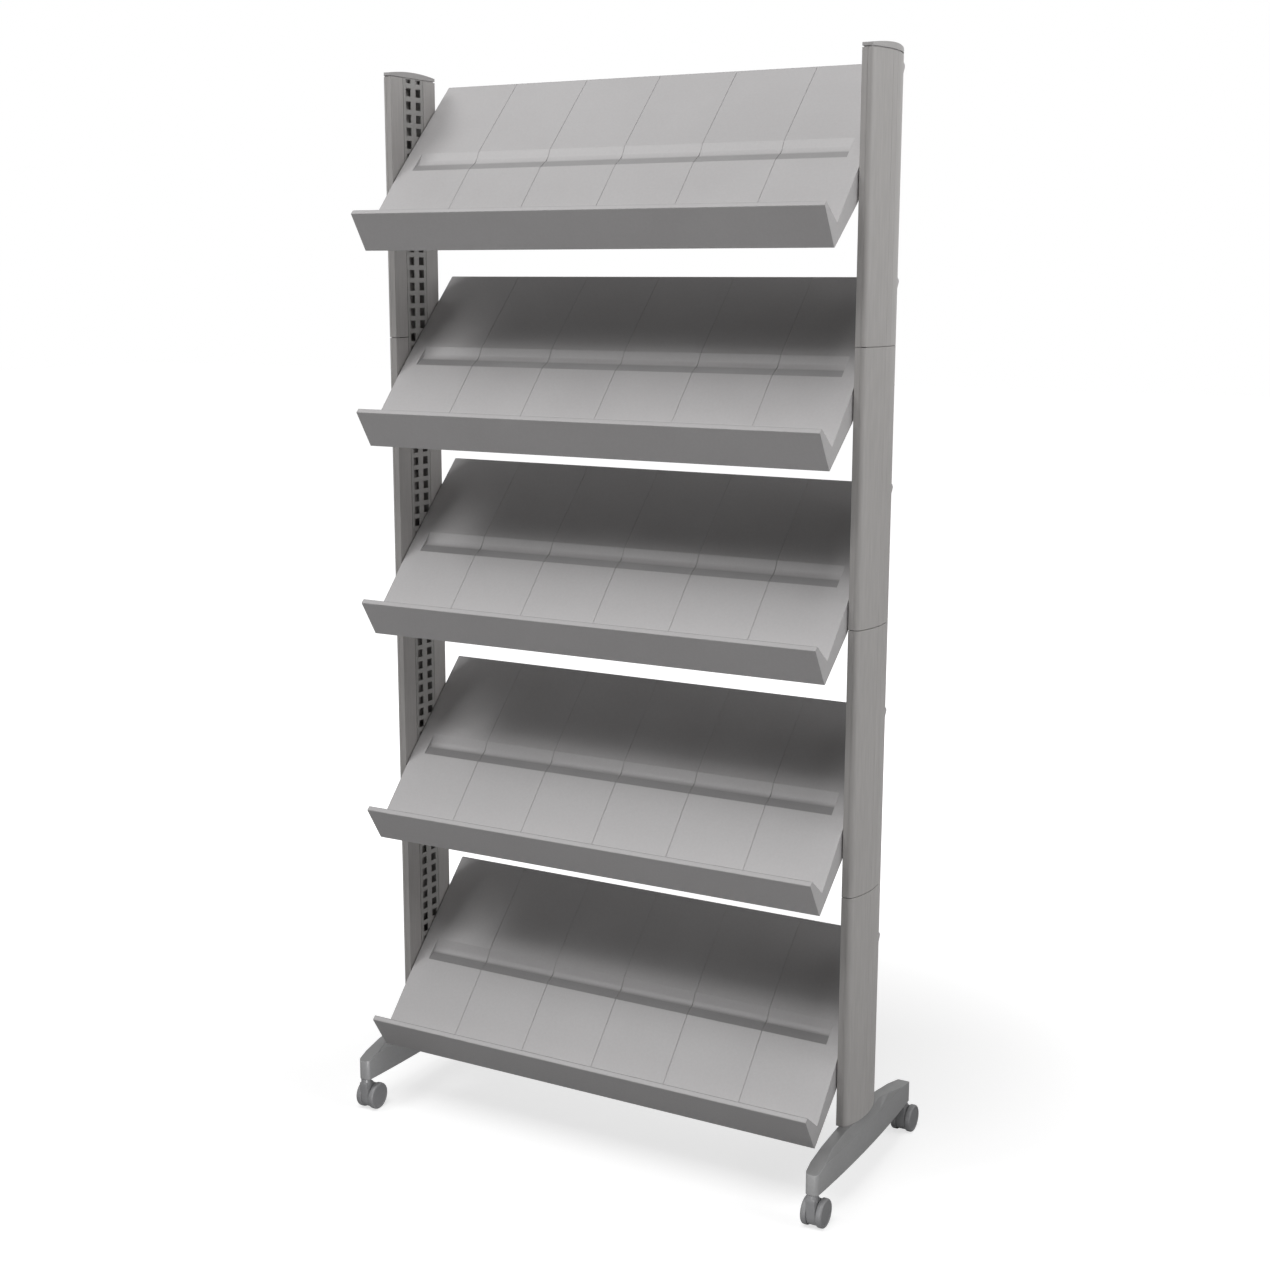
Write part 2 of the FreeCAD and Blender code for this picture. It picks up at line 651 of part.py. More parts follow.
def caster_wheel(label):
    """A wheel turned about its own x axis, bored from its inner face at x = 0, with a closed outer face."""
    body = new_body(label)
    bore = "axle_radius + bore_clearance"
    floor = "wheel_width - wheel_skin"
    section = new_sketch(body, "section", "XY_Plane")
    draw(section, [("0", bore), (floor, bore), (floor, "0"), ("wheel_width", "0"),
                   ("wheel_width", "wheel_radius - wheel_chamfer"),
                   ("wheel_width - wheel_chamfer", "wheel_radius"), ("0", "wheel_radius")])
    turning = body.newObject("PartDesign::Revolution", f"{label}_turned")
    turning.Profile = section
    turning.ReferenceAxis = (origin_part(body, "X_Axis"), [""])
    turning.Angle = 360
    return body


def build_uprights():
    for side, sign in signs.items():
        turned = side == "left"
        x = f"{sign}bay_width / 2"
        place(post(f"post_{side}"), x, post_y, "0", turned)
        for number in range(1, cover_count + 1):
            lowest = number == cover_count
            length = (f"top_height - {cover_count - 1} * module_length - base_height" if lowest
                      else "module_length - seam_gap")
            bottom = "base_height" if lowest else f"top_height - {number} * module_length + seam_gap"
            place(cover(f"cover_{side}_{number}", length), x, post_y, bottom, turned)
        place(cap(f"cap_{side}"), x, post_y, "top_height", turned)


def build_shelves():
    """Hangs the shelves in whole rows, spread alike between the top and the feet at any height."""
    first, last = shelf_rows[0], shelf_rows[-1]
    for number, row in enumerate(shelf_rows, 1):
        hung = f"({first} + round(({lowest_row} - {first}) * {row - first} / {last - first}))"
        z = f"top_height - {hung} * hole_pitch - hook_row_rise"
        place(shelf(f"shelf_{number}"), "0", post_y, z)
        for side, sign in signs.items():
            place(bracket(f"bracket_{side}_{number}", sign), f"{sign}bay_width / 2", post_y, z)


def build_feet():
    for side, sign in signs.items():
        place(foot(f"foot_{side}", sign), f"{sign}({foot_x})", post_y, "0")
        for end, y in (("front", "-bolt_spread / 2"), ("rear", "bolt_spread / 2")):
            place(foot_bolt(f"foot_bolt_{end}_{side}"), f"{sign}(bay_width / 2 + post_depth / 2)",
                  f"{post_y} + {y}", "foot_underside + bolt_seat")


def build_casters():
    wheel_x = "web_width / 2 + wheel_gap"
    for end, reach in (("front", "-caster_front"), ("rear", "caster_back")):
        for side, sign in signs.items():
            name = f"caster_{end}_{side}"
            x = f"{sign}({foot_x})"
            y = f"{post_y} + {reach}"
            place(caster_fork(f"{name}_fork"), x, y, "0")
            place(caster_axle(f"{name}_axle"), x, f"{y} + caster_trail", "wheel_radius")
            for half, way in (("inner", -1), ("outer", 1)):
                outwards = way if side == "right" else -way
                place(caster_wheel(f"{name}_wheel_{half}"), f"{x} + {outwards} * ({wheel_x})",
                      f"{y} + caster_trail", "wheel_radius", turned=outwards < 0)


def check_states():
    doc.recompute()
    for thing in doc.Objects:
        if "Invalid" in thing.State or "Error" in thing.State:
            raise RuntimeError(f"{thing.Label} failed: {thing.State}")
    for body in bodies:
        if body.Shape.isNull() or not body.Shape.isValid() or len(body.Shape.Solids) != 1:
            raise RuntimeError(f"{body.Label} isn't one valid solid")


build_uprights()
build_shelves()
build_feet()
build_casters()
check_states()
os.makedirs("parts", exist_ok=True)
for body in bodies:
    body.Shape.exportStep(f"parts/{body.Label}.step")
print(len(bodies), "sub-parts written")
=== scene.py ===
import bpy, bmesh, json, math
from mathutils import Matrix, Vector

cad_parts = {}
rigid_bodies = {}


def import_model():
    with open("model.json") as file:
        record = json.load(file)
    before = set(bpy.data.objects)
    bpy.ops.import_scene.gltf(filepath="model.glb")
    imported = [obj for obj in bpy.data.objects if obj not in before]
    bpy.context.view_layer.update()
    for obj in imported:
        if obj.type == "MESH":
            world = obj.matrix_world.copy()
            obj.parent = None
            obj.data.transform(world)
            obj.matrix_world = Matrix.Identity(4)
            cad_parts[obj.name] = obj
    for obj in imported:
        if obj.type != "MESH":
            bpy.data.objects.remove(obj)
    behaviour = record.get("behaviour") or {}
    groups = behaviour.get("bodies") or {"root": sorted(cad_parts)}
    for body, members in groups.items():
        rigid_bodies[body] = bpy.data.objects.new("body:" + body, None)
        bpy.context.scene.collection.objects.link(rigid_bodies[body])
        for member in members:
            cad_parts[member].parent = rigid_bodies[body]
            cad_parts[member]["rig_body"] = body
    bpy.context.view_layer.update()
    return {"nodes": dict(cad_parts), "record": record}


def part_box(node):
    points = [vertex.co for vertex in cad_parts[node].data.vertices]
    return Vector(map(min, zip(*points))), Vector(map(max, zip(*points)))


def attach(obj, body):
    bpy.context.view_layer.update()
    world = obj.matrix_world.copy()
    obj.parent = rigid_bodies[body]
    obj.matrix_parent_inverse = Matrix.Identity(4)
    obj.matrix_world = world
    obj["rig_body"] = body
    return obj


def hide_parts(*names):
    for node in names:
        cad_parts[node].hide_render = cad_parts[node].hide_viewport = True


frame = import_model()
nodes = frame["nodes"]
slotOf = {row["node"]: row["material_slot"] for row in frame["record"]["subparts"]}
touch = 0.00001  # points nearer than this are one
flatAngle = 0.5  # faces that turn less than this many degrees are one
print("frame loaded:", len(nodes), "nodes")


# small helpers for shader trees
def link(tree, source, target):
    tree.links.new(source, target)


def addNode(tree, kind, values=None, **settings):
    node = tree.nodes.new(kind)
    for name, value in settings.items():
        setattr(node, name, value)
    for socket, value in (values or {}).items():
        node.inputs[socket].default_value = value
    return node


def newGroup(name, inputs, outputs):
    group = bpy.data.node_groups.new(name, "ShaderNodeTree")
    for label, kind, value in inputs:
        socket = group.interface.new_socket(name=label, in_out="INPUT", socket_type=kind)
        socket.default_value = value
    for label, kind in outputs:
        group.interface.new_socket(name=label, in_out="OUTPUT", socket_type=kind)
    return group, group.nodes.new("NodeGroupInput"), group.nodes.new("NodeGroupOutput")


def useGroup(tree, group, values):
    node = addNode(tree, "ShaderNodeGroup", node_tree=group)
    for socket, value in values.items():
        node.inputs[socket].default_value = value
    return node


# effects that several finishes share
noiseRange = {"From Min": 0.3, "From Max": 0.7}


def buildGrain():
    # fine spark-eroded or sprayed texture, stretched by Stretch, and a slow drift of tone
    group, given, out = newGroup("fineGrain",
        [("Scale", "NodeSocketFloat", 900.0), ("Stretch", "NodeSocketVector", (1, 1, 1))],
        [("Height", "NodeSocketFloat"), ("Tone", "NodeSocketFloat"), ("Speckle", "NodeSocketFloat")])
    place = addNode(group, "ShaderNodeTexCoord")
    stretch = addNode(group, "ShaderNodeVectorMath", operation="MULTIPLY")
    link(group, place.outputs["Object"], stretch.inputs[0])
    link(group, given.outputs["Stretch"], stretch.inputs[1])
    fine = addNode(group, "ShaderNodeTexNoise", {"Detail": 3.0, "Roughness": 0.6})
    link(group, stretch.outputs[0], fine.inputs["Vector"])
    link(group, given.outputs["Scale"], fine.inputs["Scale"])
    link(group, fine.outputs["Fac"], out.inputs["Height"])
    drift = addNode(group, "ShaderNodeTexNoise", {"Scale": 7.0, "Detail": 4.0, "Roughness": 0.55})
    link(group, stretch.outputs[0], drift.inputs["Vector"])
    link(group, drift.outputs["Fac"], out.inputs["Tone"])
    spots = addNode(group, "ShaderNodeTexNoise", {"Scale": 260.0, "Detail": 2.0})
    link(group, stretch.outputs[0], spots.inputs["Vector"])
    link(group, spots.outputs["Fac"], out.inputs["Speckle"])
    return group


def buildEdges():
    # Wear is 1 on worn outer edges, and Normal rounds every edge by Radius
    group, given, out = newGroup("wornEdges",
        [("Radius", "NodeSocketFloat", 0.0008)],
        [("Wear", "NodeSocketFloat"), ("Normal", "NodeSocketVector")])
    bevel = addNode(group, "ShaderNodeBevel", samples=6)
    link(group, given.outputs["Radius"], bevel.inputs["Radius"])
    face = addNode(group, "ShaderNodeNewGeometry")
    agree = addNode(group, "ShaderNodeVectorMath", operation="DOT_PRODUCT")
    link(group, bevel.outputs["Normal"], agree.inputs[0])
    link(group, face.outputs["Normal"], agree.inputs[1])
    turned = addNode(group, "ShaderNodeMapRange",
                     {"From Min": 0.99, "From Max": 0.8, "To Min": 0.0, "To Max": 1.0})
    link(group, agree.outputs["Value"], turned.inputs["Value"])
    place = addNode(group, "ShaderNodeTexCoord")
    rubbed = addNode(group, "ShaderNodeTexNoise", {"Scale": 60.0, "Detail": 4.0})
    link(group, place.outputs["Object"], rubbed.inputs["Vector"])
    patchy = addNode(group, "ShaderNodeMapRange", {"From Min": 0.35, "From Max": 0.7})
    link(group, rubbed.outputs["Fac"], patchy.inputs["Value"])
    both = addNode(group, "ShaderNodeMath", operation="MULTIPLY")
    link(group, turned.outputs["Result"], both.inputs[0])
    link(group, patchy.outputs["Result"], both.inputs[1])
    link(group, both.outputs[0], out.inputs["Wear"])
    link(group, bevel.outputs["Normal"], out.inputs["Normal"])
    return group


def buildFlatShade():
    # the output mask is 1 where a face lies flatter than FlatFrom to FlatTo, broken up into patches; it marks
    # where painted shade darkens flat-lying faces
    group, given, out = newGroup("settledDust",
        [("FlatFrom", "NodeSocketFloat", 0.75), ("FlatTo", "NodeSocketFloat", 0.9)],
        [("Film", "NodeSocketFloat")])
    face = addNode(group, "ShaderNodeNewGeometry")
    parts = addNode(group, "ShaderNodeSeparateXYZ")
    link(group, face.outputs["Normal"], parts.inputs[0])
    flat = addNode(group, "ShaderNodeMapRange", interpolation_type="SMOOTHSTEP")
    link(group, parts.outputs["Z"], flat.inputs["Value"])
    link(group, given.outputs["FlatFrom"], flat.inputs["From Min"])
    link(group, given.outputs["FlatTo"], flat.inputs["From Max"])
    place = addNode(group, "ShaderNodeTexCoord")
    patches = addNode(group, "ShaderNodeTexNoise", {"Scale": 14.0, "Detail": 5.0, "Roughness": 0.6})
    link(group, place.outputs["Object"], patches.inputs["Vector"])
    uneven = addNode(group, "ShaderNodeMapRange", {**noiseRange, "To Min": 0.85})
    link(group, patches.outputs["Fac"], uneven.inputs["Value"])
    flatShadeAmount = addNode(group, "ShaderNodeMath", operation="MULTIPLY")
    link(group, flat.outputs["Result"], flatShadeAmount.inputs[0])
    link(group, uneven.outputs["Result"], flatShadeAmount.inputs[1])
    link(group, flatShadeAmount.outputs[0], out.inputs["Film"])
    return group


grainGroup = buildGrain()
edgeGroup = buildEdges()
flatShadeGroup = buildFlatShade()
print("shared effects built")


def makeFinish(name, look):
    # a painted, moulded or plated surface: two tones, speckle, worn edges, painted shade darkening faces that
    # lie flat, grained roughness and bump
    material = bpy.data.materials.new(name)
    material.use_nodes = True
    tree = material.node_tree
    shader = tree.nodes["Principled BSDF"]
    shader.inputs["Metallic"].default_value = look.get("metallic", 0.0)
    shader.inputs["Specular IOR Level"].default_value = look.get("specular", 0.5)
    grain = useGroup(tree, grainGroup, {"Scale": look["grainScale"], "Stretch": look["stretch"]})
    edges = useGroup(tree, edgeGroup, {"Radius": look["edgeRadius"]})
    tones = addNode(tree, "ShaderNodeMix", data_type="RGBA")
    tones.inputs["A"].default_value = (*look["dark"], 1)
    tones.inputs["B"].default_value = (*look["light"], 1)
    link(tree, grain.outputs["Tone"], tones.inputs["Factor"])
    flecks = addNode(tree, "ShaderNodeMapRange",
                     {**noiseRange, "To Min": 1 - look["speckle"], "To Max": 1 + look["speckle"]})
    link(tree, grain.outputs["Speckle"], flecks.inputs["Value"])
    flecked = addNode(tree, "ShaderNodeVectorMath", operation="SCALE")
    link(tree, tones.outputs["Result"], flecked.inputs[0])
    link(tree, flecks.outputs["Result"], flecked.inputs["Scale"])
    share = addNode(tree, "ShaderNodeMath", {1: look["wear"]}, operation="MULTIPLY")
    link(tree, edges.outputs["Wear"], share.inputs[0])
    worn = addNode(tree, "ShaderNodeMix", data_type="RGBA")
    worn.inputs["B"].default_value = (*look["worn"], 1)
    link(tree, share.outputs[0], worn.inputs["Factor"])
    link(tree, flecked.outputs[0], worn.inputs["A"])
    # painted shade: faces lying flatter than flatFrom to flatTo are darkened towards a dark tone
    paintedShade = useGroup(tree, flatShadeGroup, {"FlatFrom": look["flatFrom"], "FlatTo": look["flatTo"]})
    cover = addNode(tree, "ShaderNodeMath", {1: look["paintedShade"]}, operation="MULTIPLY")
    link(tree, paintedShade.outputs["Film"], cover.inputs[0])
    shadedMix = addNode(tree, "ShaderNodeMix", data_type="RGBA")
    shadedMix.inputs["B"].default_value = (*look["paintedShadeTone"], 1)
    link(tree, cover.outputs[0], shadedMix.inputs["Factor"])
    link(tree, worn.outputs["Result"], shadedMix.inputs["A"])
    link(tree, shadedMix.outputs["Result"], shader.inputs["Base Color"])
    gloss = addNode(tree, "ShaderNodeMapRange",
                    {**noiseRange, "To Min": look["rough"][0], "To Max": look["rough"][1]})
    link(tree, grain.outputs["Tone"], gloss.inputs["Value"])
    link(tree, gloss.outputs["Result"], shader.inputs["Roughness"])
    bump = addNode(tree, "ShaderNodeBump", {"Strength": look["bump"], "Distance": look["bumpDepth"]})
    link(tree, grain.outputs["Height"], bump.inputs["Height"])
    link(tree, edges.outputs["Normal"], bump.inputs["Normal"])
    link(tree, bump.outputs["Normal"], shader.inputs["Normal"])
    return material


plainLook = {"worn": (0.56, 0.55, 0.54), "speckle": 0.03, "wear": 0.4, "rough": (0.42, 0.52),
             "grainScale": 1100.0, "stretch": (1, 1, 1), "bump": 0.12, "bumpDepth": 0.0002,
             "edgeRadius": 0.0008, "paintedShade": 0.0, "paintedShadeTone": (0.2, 0.2, 0.2), "flatFrom": 0.75, "flatTo": 0.9}
# the shelf's flat faces, such as the tread of its recess, get painted shade
shelfLook = {**plainLook, "dark": (0.440, 0.428, 0.430), "light": (0.500, 0.490, 0.492),
             "worn": (0.60, 0.59, 0.59), "speckle": 0.02, "rough": (0.40, 0.48), "grainScale": 1400.0,
             "specular": 0.6, "edgeRadius": 0.0012, "paintedShade": 0.62, "paintedShadeTone": (0.13, 0.128, 0.128),
             "flatFrom": 0.76, "flatTo": 0.88}
coverLook = {**plainLook, "dark": (0.378, 0.364, 0.356), "light": (0.436, 0.422, 0.412),
             "speckle": 0.05, "stretch": (1, 1, 0.08), "bump": 0.16}
capLook = {**plainLook, "dark": (0.400, 0.390, 0.386), "light": (0.452, 0.440, 0.436)}
postLook = {**plainLook, "dark": (0.33, 0.326, 0.317), "light": (0.38, 0.37, 0.36),
            "worn": (0.50, 0.49, 0.48), "wear": 0.5, "rough": (0.38, 0.5), "grainScale": 700.0,
            "bump": 0.2, "edgeRadius": 0.0004}
# the foot's top faces get painted shade
footLook = {**plainLook, "dark": (0.295, 0.295, 0.300), "light": (0.350, 0.350, 0.350),
            "speckle": 0.04, "rough": (0.34, 0.46), "grainScale": 650.0, "metallic": 0.2,
            "bump": 0.18, "bumpDepth": 0.0003, "edgeRadius": 0.0015,
            "paintedShade": 0.75, "paintedShadeTone": (0.16, 0.16, 0.16), "flatFrom": 0.25, "flatTo": 0.42}
casterLook = {**plainLook, "dark": (0.185, 0.185, 0.19), "light": (0.235, 0.235, 0.24),
              "worn": (0.30, 0.30, 0.30), "rough": (0.35, 0.46), "grainScale": 1200.0}
wheelLook = {**casterLook, "dark": (0.175, 0.175, 0.18), "light": (0.23, 0.23, 0.235),
             "rough": (0.4, 0.55)}
zincLook = {**plainLook, "dark": (0.50, 0.50, 0.50), "light": (0.62, 0.62, 0.61),
            "worn": (0.72, 0.72, 0.72), "speckle": 0.08, "rough": (0.25, 0.4), "grainScale": 500.0,
            "metallic": 1.0, "bumpDepth": 0.0001, "edgeRadius": 0.0003}

finishes = {
    "shelf_plastic": makeFinish("shelfPlastic", shelfLook),
    "cover_plastic": makeFinish("coverPlastic", coverLook),
    "post_steel": makeFinish("postPaint", postLook),
    "bracket_steel": makeFinish("bracketPaint", postLook),
    "foot_metal": makeFinish("footPaint", footLook),
    "caster_plastic": makeFinish("casterPlastic", casterLook),
    "wheel_plastic": makeFinish("wheelPlastic", wheelLook),
    "bolt_steel": makeFinish("boltZinc", zincLook),
    "axle_steel": makeFinish("axleSteel", zincLook),
}
capFinish = makeFinish("capPlastic", capLook)


def dressNodes():
    for node, slot in slotOf.items():
        mesh = nodes[node].data
        mesh.materials.clear()
        mesh.materials.append(capFinish if node.startswith("cap_") else finishes[slot])


dressNodes()
print("finishes laid on", len(nodes), "nodes")


def copyNode(name):
    # a working copy of a node, with its loose triangles joined and its flat faces whole
    bm = bmesh.new()
    bm.from_mesh(nodes[name].data)
    bmesh.ops.remove_doubles(bm, verts=bm.verts, dist=touch)
    bmesh.ops.dissolve_limit(bm, angle_limit=math.radians(flatAngle), verts=bm.verts, edges=bm.edges)
    return bm


def addInside(name, bm, node, sharpAngle=40):
    # a piece in the node's finish that rides with it and leaves the node itself in place
    mesh = bpy.data.meshes.new(name)
    bm.to_mesh(mesh)
    bm.free()
    mesh.shade_smooth()
    mesh.set_sharp_from_angle(angle=math.radians(sharpAngle))
    mesh.materials.append(finishes[slotOf[node]])
    piece = bpy.data.objects.new(name, mesh)
    bpy.context.scene.collection.objects.link(piece)
    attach(piece, nodes[node]["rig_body"])
    return piece


def addPiece(name, bm, node):
    # a piece that stands in for the node
    piece = addInside(name, bm, node)
    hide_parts(node)


def softenEdges(bm, chosen, size, steps):
    bmesh.ops.bevel(bm, geom=chosen, offset=size, offset_type="OFFSET", segments=steps,
                    profile=0.5, affect="EDGES", clamp_overlap=True, material=-1)


def sharpEdges(bm, angle):
    return [edge for edge in bm.edges if len(edge.link_faces) == 2
            and edge.calc_face_angle() > math.radians(angle)]


wheel = {"bore": 0.00305, "boreDepth": 0.007, "rimRound": 0.003, "backRound": 0.0018, "roundSteps": 4,
         "rimWidth": 0.0042, "rimGroove": 0.0007, "faceShare": 0.9, "faceDome": 0.0004, "turns": 96}


def buildWheel(node, fork):
    # a wheel turned from its section: rounded tread, a groove inside the rim, a gently domed face
    low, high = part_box(node)
    middle = (low + high) / 2
    forkMiddle = sum(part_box(fork), Vector()) / 2
    outwards = 1 if middle.x > forkMiddle.x else -1
    innerX = low.x if outwards > 0 else high.x
    radius = (high.z - low.z) / 2
    width = high.x - low.x
    rim = radius - wheel["rimWidth"]
    sunkFace = width - wheel["rimGroove"]
    section = [(wheel["boreDepth"], 0), (wheel["boreDepth"], wheel["bore"]), (0, wheel["bore"]), (0, radius),
               (width, radius), (width, rim), (sunkFace, rim - wheel["rimGroove"]),
               (sunkFace, rim * wheel["faceShare"]), (sunkFace + wheel["faceDome"], 0)]
    bm = bmesh.new()
    ring = [bm.verts.new((innerX + outwards * along, middle.y, middle.z + out)) for along, out in section]
    lines = [bm.edges.new(pair) for pair in zip(ring, ring[1:])]
    bmesh.ops.spin(bm, geom=ring + lines, cent=middle, axis=(1, 0, 0), angle=math.tau,
                   steps=wheel["turns"], use_merge=True)
    bmesh.ops.remove_doubles(bm, verts=bm.verts, dist=touch)
    bmesh.ops.recalc_face_normals(bm, faces=bm.faces)
    for along, size in ((0, wheel["backRound"]), (width, wheel["rimRound"])):
        x = innerX + outwards * along
        corner = [edge for edge in bm.edges if all(abs(v.co.x - x) < touch and
                  abs((v.co - middle).yz.length - radius) < touch for v in edge.verts)]
        softenEdges(bm, corner, size, wheel["roundSteps"])
    return bm


for node in nodes:
    if "_wheel_" in node:
        forkNode = node.split("_wheel_")[0] + "_fork"
        addPiece(node.replace("caster", "turned"), buildWheel(node, forkNode), node)
print("caster wheels turned")

foot = {"round": 0.0018, "roundSteps": 3, "sharp": 18, "corePlan": 0.0085, "endPlan": 0.012,
        "coreHalf": 0.0062, "coreEnd": 0.002}


def buildFoot(node):
    # the foot's outer edges rounded, leaving its sockets and bores as they are
    bm = copyNode(node)
    low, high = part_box(node)
    middle = (low + high) / 2

    def onOutside(v):
        under = v.co.z < low.z + touch
        ends = min(v.co.y - low.y, high.y - v.co.y) < foot["endPlan"]
        wide = abs(v.co.x - middle.x) > foot["corePlan"]
        return (wide or ends) if under else v.co.z <= high.z - touch

    def boundsCore(v):
        fromEnd = min(v.co.y - low.y, high.y - v.co.y)
        return abs(v.co.x - middle.x) < foot["coreHalf"] and fromEnd > foot["coreEnd"]

    chosen = [edge for edge in sharpEdges(bm, foot["sharp"])
              if all(onOutside(v) and not boundsCore(v) for v in edge.verts)]
    softenEdges(bm, chosen, foot["round"], foot["roundSteps"])
    return bm


for side in ("left", "right"):
    node = "foot_" + side
    addPiece("rounded_" + node, buildFoot(node), node)
print("feet rounded")

fork = {"round": 0.0007, "roundSteps": 2, "sharp": 35, "stemFrom": 0.056}


def buildFork(node):
    # the fork's edges rounded below its stem
    bm = copyNode(node)
    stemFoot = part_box(node)[0].z + fork["stemFrom"]
    chosen = [edge for edge in sharpEdges(bm, fork["sharp"]) if all(v.co.z < stemFoot for v in edge.verts)]
    softenEdges(bm, chosen, fork["round"], fork["roundSteps"])
    return bm


for node in nodes:
    if node.endswith("_fork"):
        addPiece(node.replace("caster", "rounded"), buildFork(node), node)
print("caster forks rounded")

sleeve = {"wall": 0.0025, "crown": 0.151, "gap": 0.0002, "thick": 0.001, "reach": 0.006,
          "cornerWalls": 3, "steps": 24}


def buildSleeve(side, upper, lower):
    # a strip inside a seam of the covers, spun about the middle of their crown, so that no light passes
    low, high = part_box(upper)
    seam = (low.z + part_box(lower)[1].z) / 2
    inner, outwards = (low.x, 1) if side == "right" else (high.x, -1)
    centre = Vector((inner + outwards * (high.x - low.x - sleeve["crown"]), (low.y + high.y) / 2, seam))
    outer = sleeve["crown"] - sleeve["wall"] - sleeve["gap"]
    inside = outer - sleeve["thick"]
    half = (high.y - low.y) / 2 - sleeve["cornerWalls"] * sleeve["wall"]
    sweep = math.asin((half + sleeve["thick"]) / inside)
    bm = bmesh.new()
    ring = [(outer, -sleeve["reach"]), (outer, sleeve["reach"]),
            (inside, sleeve["reach"]), (inside, -sleeve["reach"])]
    section = [bm.verts.new(centre + Vector((outwards * out, 0, rise))) for out, rise in ring]
    bm.faces.new(section)
    bmesh.ops.rotate(bm, verts=section, cent=centre, matrix=Matrix.Rotation(-sweep, 3, "Z"))
    bmesh.ops.spin(bm, geom=bm.faces[:], cent=centre, axis=(0, 0, 1), angle=2 * sweep, steps=sleeve["steps"])
    for end in (-1, 1):
        bmesh.ops.bisect_plane(bm, geom=bm.verts[:] + bm.edges[:] + bm.faces[:], dist=touch, clear_outer=True,
                               plane_co=centre + Vector((0, end * half, 0)), plane_no=(0, end, 0))
    bmesh.ops.holes_fill(bm, edges=bm.edges)
    bmesh.ops.recalc_face_normals(bm, faces=bm.faces)
    return bm


for side in ("left", "right"):
    covers = sorted(node for node in nodes if node.startswith(f"cover_{side}_"))
    for number, (upper, lower) in enumerate(zip(covers, covers[1:]), 1):
        addInside(f"sleeve_{side}_{number}", buildSleeve(side, upper, lower), upper)
print("seams lined")

studio = {
    "floorSize": 40.0, "floorTone": (0.5, 0.85), "floorLift": (0.7, 1.0), "floorFade": (0.5, 1.9),
    "floorRough": 0.9, "worldLight": 0.06,
    "lamps": {
        "frontLamp": {"at": (0.3, -2.6, 6.0), "aim": (0.0, 0.0, 0.9), "size": 3.0, "watts": 150.0},
        "leftLamp": {"at": (-2.4, -2.6, 4.6), "aim": (0.0, 0.0, 0.7), "size": 2.0, "watts": 74.0},
        "rightLamp": {"at": (4.0, 0.2, 2.2), "aim": (0.0, 0.0, 0.9), "size": 2.0, "watts": 50.0},
        "rearLamp": {"at": (3.2, 2.0, 2.6), "aim": (0.0, 0.0, 0.9), "size": 2.0, "watts": 20.0},
        "leftFootLamp": {"at": (0.25, -0.85, 0.09), "aim": (-0.4, -0.17, 0.05), "size": 0.2,
                         "watts": 0.17, "spread": 30, "only": "_left"},
        "rightFootLamp": {"at": (0.5, -1.1, 0.16), "aim": (0.405, -0.2, 0.04), "size": 0.2,
                          "watts": 0.1, "spread": 24, "only": "_right"},
    },
}


def buildFloor():
    mesh = bpy.data.meshes.new("floor")
    bm = bmesh.new()
    bmesh.ops.create_grid(bm, x_segments=1, y_segments=1, size=studio["floorSize"] / 2)
    bm.to_mesh(mesh)
    bm.free()
    floor = bpy.data.objects.new("floor", mesh)
    bpy.context.scene.collection.objects.link(floor)
    material = bpy.data.materials.new("paleFloor")
    material.use_nodes = True
    tree = material.node_tree
    shader = tree.nodes["Principled BSDF"]
    shader.inputs["Roughness"].default_value = studio["floorRough"]
    shader.inputs["Specular IOR Level"].default_value = 0.0
    shader.inputs["Emission Color"].default_value = (1, 1, 1, 1)
    place = addNode(tree, "ShaderNodeTexCoord")
    away = addNode(tree, "ShaderNodeVectorMath", operation="LENGTH")
    link(tree, place.outputs["Object"], away.inputs[0])

    def fadeOut(values):
        # goes from the first value near the object to the second far off
        fade = addNode(tree, "ShaderNodeMapRange", {
            "From Min": studio["floorFade"][0], "From Max": studio["floorFade"][1],
            "To Min": values[0], "To Max": values[1]}, interpolation_type="SMOOTHSTEP")
        link(tree, away.outputs["Value"], fade.inputs["Value"])
        return fade.outputs["Result"]

    link(tree, fadeOut(studio["floorTone"]), shader.inputs["Base Color"])
    seen = addNode(tree, "ShaderNodeLightPath")
    lift = addNode(tree, "ShaderNodeMath", operation="MULTIPLY")
    link(tree, seen.outputs["Is Camera Ray"], lift.inputs[0])
    link(tree, fadeOut(studio["floorLift"]), lift.inputs[1])
    link(tree, lift.outputs[0], shader.inputs["Emission Strength"])
    mesh.materials.append(material)


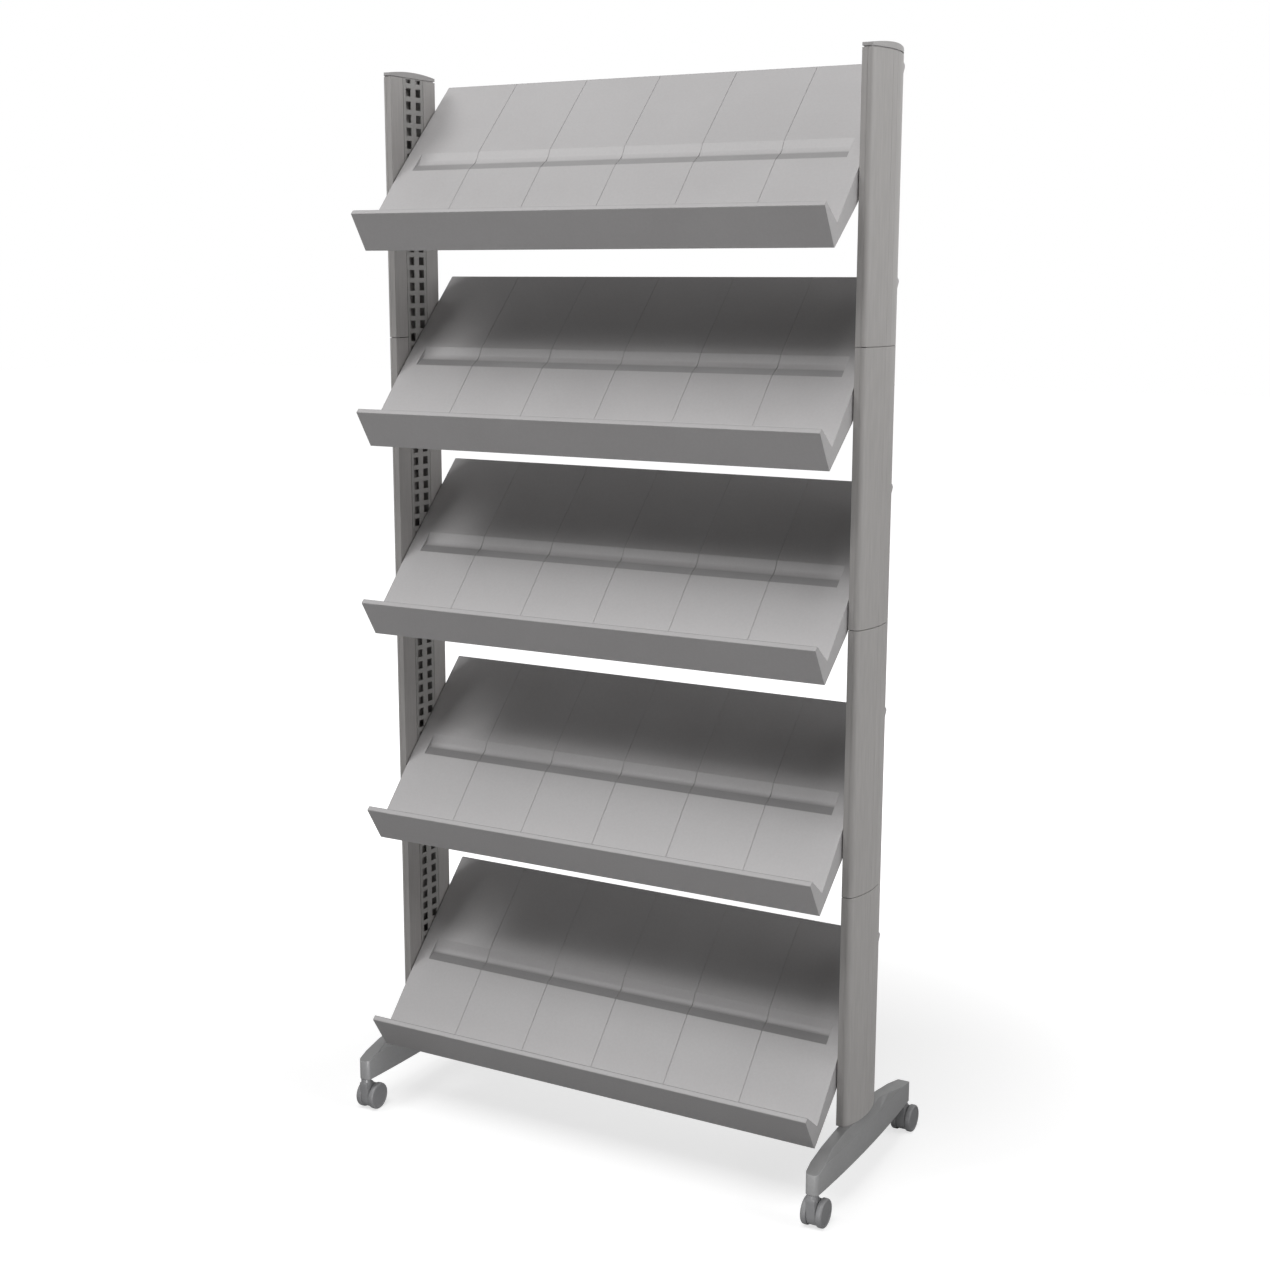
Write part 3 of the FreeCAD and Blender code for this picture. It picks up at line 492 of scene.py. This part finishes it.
def buildWorld():
    world = bpy.data.worlds.new("studioWorld")
    bpy.context.scene.world = world
    world.use_nodes = True
    tree = world.node_tree
    soft = tree.nodes["Background"]
    soft.inputs["Color"].default_value = (1, 1, 1, 1)
    soft.inputs["Strength"].default_value = studio["worldLight"]
    white = addNode(tree, "ShaderNodeBackground", {"Color": (1, 1, 1, 1), "Strength": 1.0})
    seen = addNode(tree, "ShaderNodeLightPath")
    either = addNode(tree, "ShaderNodeMath", operation="MAXIMUM")
    link(tree, seen.outputs["Is Camera Ray"], either.inputs[0])
    link(tree, seen.outputs["Is Glossy Ray"], either.inputs[1])
    mix = addNode(tree, "ShaderNodeMixShader")
    link(tree, either.outputs[0], mix.inputs["Fac"])
    link(tree, soft.outputs[0], mix.inputs[1])
    link(tree, white.outputs[0], mix.inputs[2])
    link(tree, mix.outputs[0], tree.nodes["World Output"].inputs["Surface"])


def lightOnly(light, side):
    # the lamp reaches the foot, forks and wheels of one side and nothing else
    lit = bpy.data.collections.new(light.name + "Lit")
    for item in bpy.data.objects:
        if item.name.startswith(("rounded_", "turned_")) and side in item.name:
            lit.objects.link(item)
    light.light_linking.receiver_collection = lit


def buildLamps():
    for name, lamp in studio["lamps"].items():
        data = bpy.data.lights.new(name, "AREA")
        data.size = lamp["size"]
        data.energy = lamp["watts"]
        data.spread = math.radians(lamp.get("spread", 180))
        light = bpy.data.objects.new(name, data)
        bpy.context.scene.collection.objects.link(light)
        light.location = lamp["at"]
        light.rotation_euler = (Vector(lamp["aim"]) - Vector(lamp["at"])).to_track_quat("-Z", "Y").to_euler()
        light.visible_camera = False
        if "only" in lamp:
            lightOnly(light, lamp["only"])


view = {"at": (1.3918, -2.4988, 1.3685), "yaw": 29.22, "down": 11.19, "roll": 0.08,
        "lens": 52.466, "sensor": 36.0, "shift": (0.00203, 0.0060)}


def buildCamera():
    data = bpy.data.cameras.new("camera")
    data.lens = view["lens"]
    data.sensor_width = view["sensor"]
    data.shift_x, data.shift_y = view["shift"]
    camera = bpy.data.objects.new("camera", data)
    bpy.context.scene.collection.objects.link(camera)
    turn = (Matrix.Rotation(math.radians(view["yaw"]), 4, "Z")
            @ Matrix.Rotation(math.radians(90 - view["down"]), 4, "X")
            @ Matrix.Rotation(math.radians(view["roll"]), 4, "Z"))
    camera.matrix_world = Matrix.Translation(view["at"]) @ turn
    bpy.context.scene.camera = camera


buildFloor()
buildWorld()
buildLamps()
buildCamera()
bpy.context.scene.view_settings.view_transform = "Standard"
print("studio, lamps and camera set")
